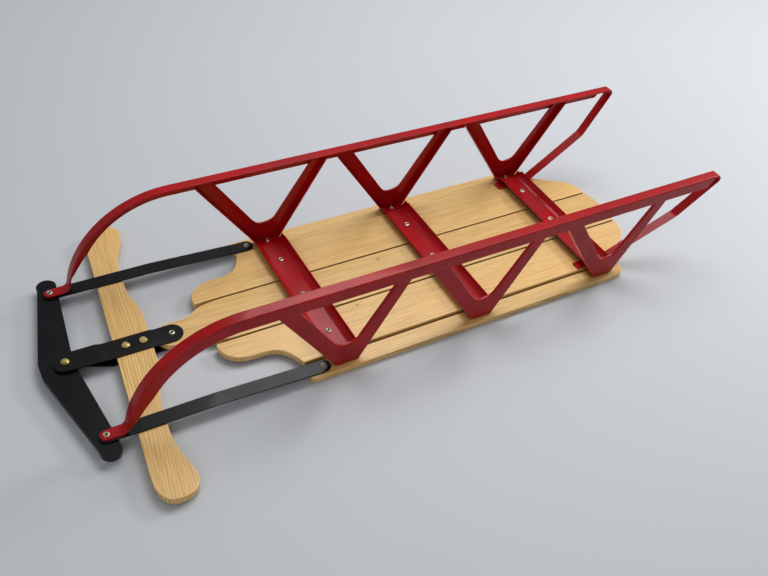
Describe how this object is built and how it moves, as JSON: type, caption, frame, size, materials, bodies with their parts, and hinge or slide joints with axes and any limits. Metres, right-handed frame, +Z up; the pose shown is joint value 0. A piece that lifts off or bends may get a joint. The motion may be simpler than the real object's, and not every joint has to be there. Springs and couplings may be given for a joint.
{
  "type": "steerable steel-runner sled",
  "caption": "Steerable sled with a slatted wooden deck, riveted red steel benches, knees and springy runners, black steering linkage and a wooden steering bar, lying upside down.",
  "frame": {"origin": "centre of the sled's footprint, on the surface that it lies on, deck down", "axes": "+Z up through the runners, with the sled lying upside down on its deck; -Y towards the nose and the bumper; +X towards the rider's right once the sled is turned over"},
  "size_m": [0.615, 1.256, 0.19],
  "materials": {
    "varnished_wood": "clear satin varnish over pale golden straight-grained wood",
    "red_paint": "gloss red enamel on pressed steel",
    "black_paint": "satin black enamel on strap steel",
    "plated_rivet": "dulled plated steel",
    "yellow_bolt": "yellow-plated, satin"
  },
  "bodies": {
    "deck": {"slat_centre": "varnished_wood", "slat_left": "varnished_wood", "rail_left": "varnished_wood", "slat_right": "varnished_wood", "rail_right": "varnished_wood", "bench_front": "red_paint", "bench_middle": "red_paint", "bench_rear": "red_paint", "knee_front_left": "red_paint", "knee_front_right": "red_paint", "knee_middle_left": "red_paint", "knee_middle_right": "red_paint", "knee_rear_left": "red_paint", "knee_rear_right": "red_paint", "runner_left": "red_paint", "runner_right": "red_paint", "rivet_front_centre": "plated_rivet", "rivet_front_slat_left": "plated_rivet", "rivet_front_rail_left": "plated_rivet", "rivet_front_slat_right": "plated_rivet", "rivet_front_rail_right": "plated_rivet", "rivet_middle_centre": "plated_rivet", "rivet_middle_slat_left": "plated_rivet", "rivet_middle_rail_left": "plated_rivet", "rivet_middle_slat_right": "plated_rivet", "rivet_middle_rail_right": "plated_rivet", "rivet_rear_centre": "plated_rivet", "rivet_rear_slat_left": "plated_rivet", "rivet_rear_rail_left": "plated_rivet", "rivet_rear_slat_right": "plated_rivet", "rivet_rear_rail_right": "plated_rivet", "strut_rivet_left": "plated_rivet", "strut_rivet_right": "plated_rivet"},
    "lever": {"steering_bar": "varnished_wood", "strap_upper": "black_paint", "strap_lower": "black_paint", "bar_bolt_rear": "yellow_bolt", "bar_bolt_front": "yellow_bolt", "bumper_pivot_bolt": "yellow_bolt", "nose_pivot_rivet": "plated_rivet"},
    "strut_left": {"strut_left": "black_paint", "corner_rivet_left": "plated_rivet"},
    "strut_right": {"strut_right": "black_paint", "corner_rivet_right": "plated_rivet"},
    "bumper": {"bumper_plate": "black_paint"},
    "runner_nose_left": {"runner_nose_left": "red_paint"},
    "runner_nose_right": {"runner_nose_right": "red_paint"}
  },
  "joints": [
    {"name": "steering", "type": "hinge", "parent": "deck", "child": "lever", "pos_m": [0.00011, -0.41498, 0.012], "axis": [0, 0, 1], "range_deg": [-8, 8], "stiffness_Nm_per_rad": 6},
    {"name": "strut_left_swing", "type": "hinge", "parent": "deck", "child": "strut_left", "pos_m": [-0.16309, -0.21298, 0.0135], "axis": [0, 0, 1], "range_deg": [-4.1, 4.1]},
    {"name": "strut_right_swing", "type": "hinge", "parent": "deck", "child": "strut_right", "pos_m": [0.16331, -0.21298, 0.0135], "axis": [0, 0, 1], "range_deg": [-4.1, 4.1]},
    {"name": "bumper_swing", "type": "hinge", "parent": "strut_left", "child": "bumper", "pos_m": [-0.16309, -0.57198, 0.019], "axis": [0, 0, 1], "range_deg": [-4.1, 4.1]},
    {"name": "runner_left_flex", "type": "hinge", "parent": "deck", "child": "runner_nose_left", "pos_m": [-0.16309, -0.32098, 0.188], "axis": [0, 0, 1], "range_deg": [-5.8, 5.8]},
    {"name": "runner_right_flex", "type": "hinge", "parent": "deck", "child": "runner_nose_right", "pos_m": [0.16331, -0.32098, 0.188], "axis": [0, 0, 1], "range_deg": [-5.8, 5.8]}
  ],
  "couplings": [
    {"joint": "strut_left_swing", "follows": "steering", "ratio": 0.4847},
    {"joint": "strut_right_swing", "follows": "steering", "ratio": 0.4847},
    {"joint": "bumper_swing", "follows": "steering", "ratio": -0.4847},
    {"joint": "runner_left_flex", "follows": "steering", "ratio": 0.6932},
    {"joint": "runner_right_flex", "follows": "steering", "ratio": 0.6932}
  ]
}
